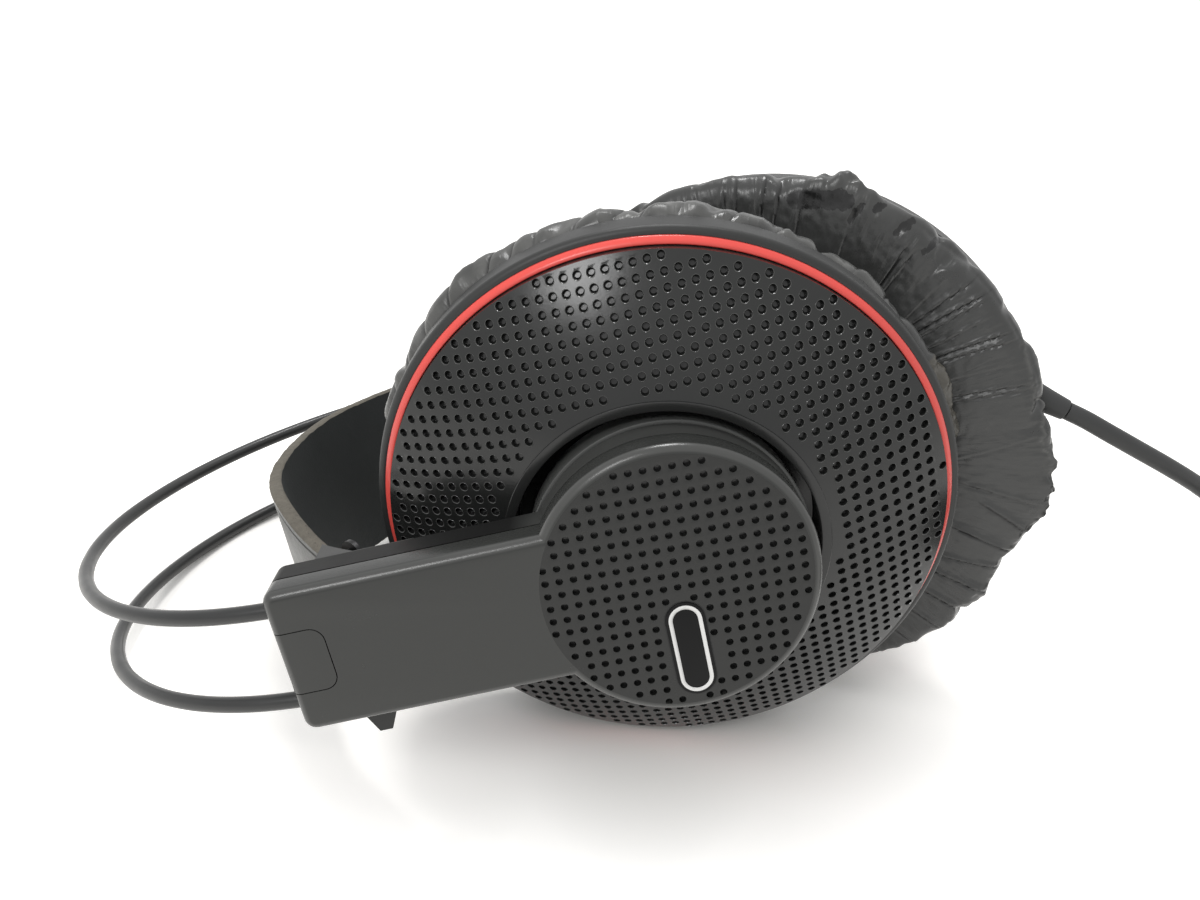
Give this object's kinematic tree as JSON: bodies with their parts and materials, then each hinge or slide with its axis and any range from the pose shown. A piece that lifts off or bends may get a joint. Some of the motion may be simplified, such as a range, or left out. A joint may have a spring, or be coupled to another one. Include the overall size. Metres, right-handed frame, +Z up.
{
  "type": "over-ear headphones",
  "caption": "Closed-back over-ear headphones with ball-jointed domed cups, a sprung hoop of paired wires, a sliding leather strap and a coiled cable with a stereo plug.",
  "frame": {"origin": "on the table plane, under the middle of the box round everything but the cord, its tie and its plug", "axes": "+Z up from the table, +X from the hoop towards the cups and the cable, -Y out of the right cup towards the viewer"},
  "size_m": [0.3131, 0.1236, 0.102],
  "materials": {
    "arm_plastic": "satin",
    "dome_plastic": "semi-gloss",
    "shell_plastic": "satin",
    "trim_red": "gloss",
    "hoop_wire": "satin",
    "strap_leather": "satin, worn",
    "cushion_leather": "matte, worn",
    "badge_black": "gloss",
    "steel": "satin",
    "ball_plastic": "satin",
    "clamp_alloy": "satin",
    "inner_plastic": "matte",
    "film": "gloss",
    "copper": "satin",
    "cloth": "matte",
    "elastic_rubber": "matte",
    "cable_rubber": "matte",
    "tie_plastic": "matte",
    "jack_gold": "polished"
  },
  "bodies": {
    "left_arm": {"left_arm_cover": "arm_plastic", "left_arm_back": "arm_plastic", "left_badge": "badge_black", "left_end_insert": "arm_plastic", "left_wire_clamp": "clamp_alloy", "left_arm_screws": "steel", "left_ball_stud": "steel", "left_elastic": "elastic_rubber", "upper_wire": "hoop_wire", "lower_wire": "hoop_wire"},
    "right_arm": {"right_arm_cover": "arm_plastic", "right_arm_back": "arm_plastic", "right_badge": "badge_black", "right_end_insert": "arm_plastic", "right_wire_clamp": "clamp_alloy", "right_arm_screws": "steel", "right_ball_stud": "steel", "right_elastic": "elastic_rubber"},
    "left_ball": {"left_stud_pin": "steel", "left_pivot_ball": "ball_plastic", "cable": "cable_rubber", "cable_coil": "cable_rubber", "plug_lead": "cable_rubber", "coil_tie": "tie_plastic", "plug_body": "cable_rubber", "plug_jack": "jack_gold"},
    "right_ball": {"right_stud_pin": "steel", "right_pivot_ball": "ball_plastic"},
    "left_cup": {"left_ball_retainer": "shell_plastic", "left_retainer_screws": "steel", "left_dome_cover": "dome_plastic", "left_trim_ring": "trim_red", "left_cup_shell": "shell_plastic", "left_shell_screws": "steel", "left_baffle": "inner_plastic", "left_driver_frame": "inner_plastic", "left_driver_magnet": "steel", "left_diaphragm": "film", "left_voice_coil": "copper", "left_driver_cloth": "cloth", "left_ear_cushion": "cushion_leather", "strain_relief": "cable_rubber"},
    "right_cup": {"right_ball_retainer": "shell_plastic", "right_retainer_screws": "steel", "right_dome_cover": "dome_plastic", "right_trim_ring": "trim_red", "right_cup_shell": "shell_plastic", "right_shell_screws": "steel", "right_baffle": "inner_plastic", "right_driver_frame": "inner_plastic", "right_driver_magnet": "steel", "right_diaphragm": "film", "right_voice_coil": "copper", "right_driver_cloth": "cloth", "right_ear_cushion": "cushion_leather"},
    "strap": {"strap": "strap_leather", "left_strap_bracket": "shell_plastic", "left_bracket_rivets": "steel"},
    "strap_right_end": {"right_strap_bracket": "shell_plastic", "right_bracket_rivets": "steel"}
  },
  "joints": [
    {"name": "band_spread", "type": "hinge", "parent": "left_arm", "child": "right_arm", "pos_m": [-0.08857, 0.00512, 0.01139], "axis": [0.2909, -0.1696, -0.9416], "range_deg": [0, 40], "stiffness_Nm_per_rad": 0.5, "deforming": ["upper_wire", "lower_wire", "strap"]},
    {"name": "right_toe", "type": "hinge", "parent": "right_arm", "child": "right_ball", "pos_m": [0.01912, -0.03427, 0.05176], "axis": [-0.2909, 0.1696, 0.9416], "range_deg": [-6, 6]},
    {"name": "right_tilt", "type": "hinge", "parent": "right_ball", "child": "right_cup", "pos_m": [0.01912, -0.03427, 0.05176], "axis": [-0.9562, -0.0176, -0.2923], "range_deg": [-5, 18]},
    {"name": "left_toe", "type": "hinge", "parent": "left_arm", "child": "left_ball", "pos_m": [0.04288, 0.01864, 0.04957], "axis": [0.2909, -0.1696, -0.9416], "range_deg": [-2, 6]},
    {"name": "left_tilt", "type": "hinge", "parent": "left_ball", "child": "left_cup", "pos_m": [0.04288, 0.01864, 0.04957], "axis": [0.9251, -0.2011, 0.322], "range_deg": [-6, 12], "deforming": ["cable"]},
    {"name": "strap_slide", "type": "slide", "parent": "left_arm", "child": "strap", "axis": [-0.8542, 0.3973, -0.3355], "range_m": [0, 0.009], "stiffness_N_per_m": 100, "springref_m": -0.003, "deforming": ["left_elastic", "right_elastic"]},
    {"name": "strap_flex", "type": "hinge", "parent": "strap", "child": "strap_right_end", "pos_m": [-0.08857, 0.00512, 0.01139], "axis": [0.2909, -0.1696, -0.9416], "range_deg": [0, 40]}
  ],
  "couplings": [
    {"joint": "strap_flex", "follows": "band_spread", "ratio": 1}
  ]
}
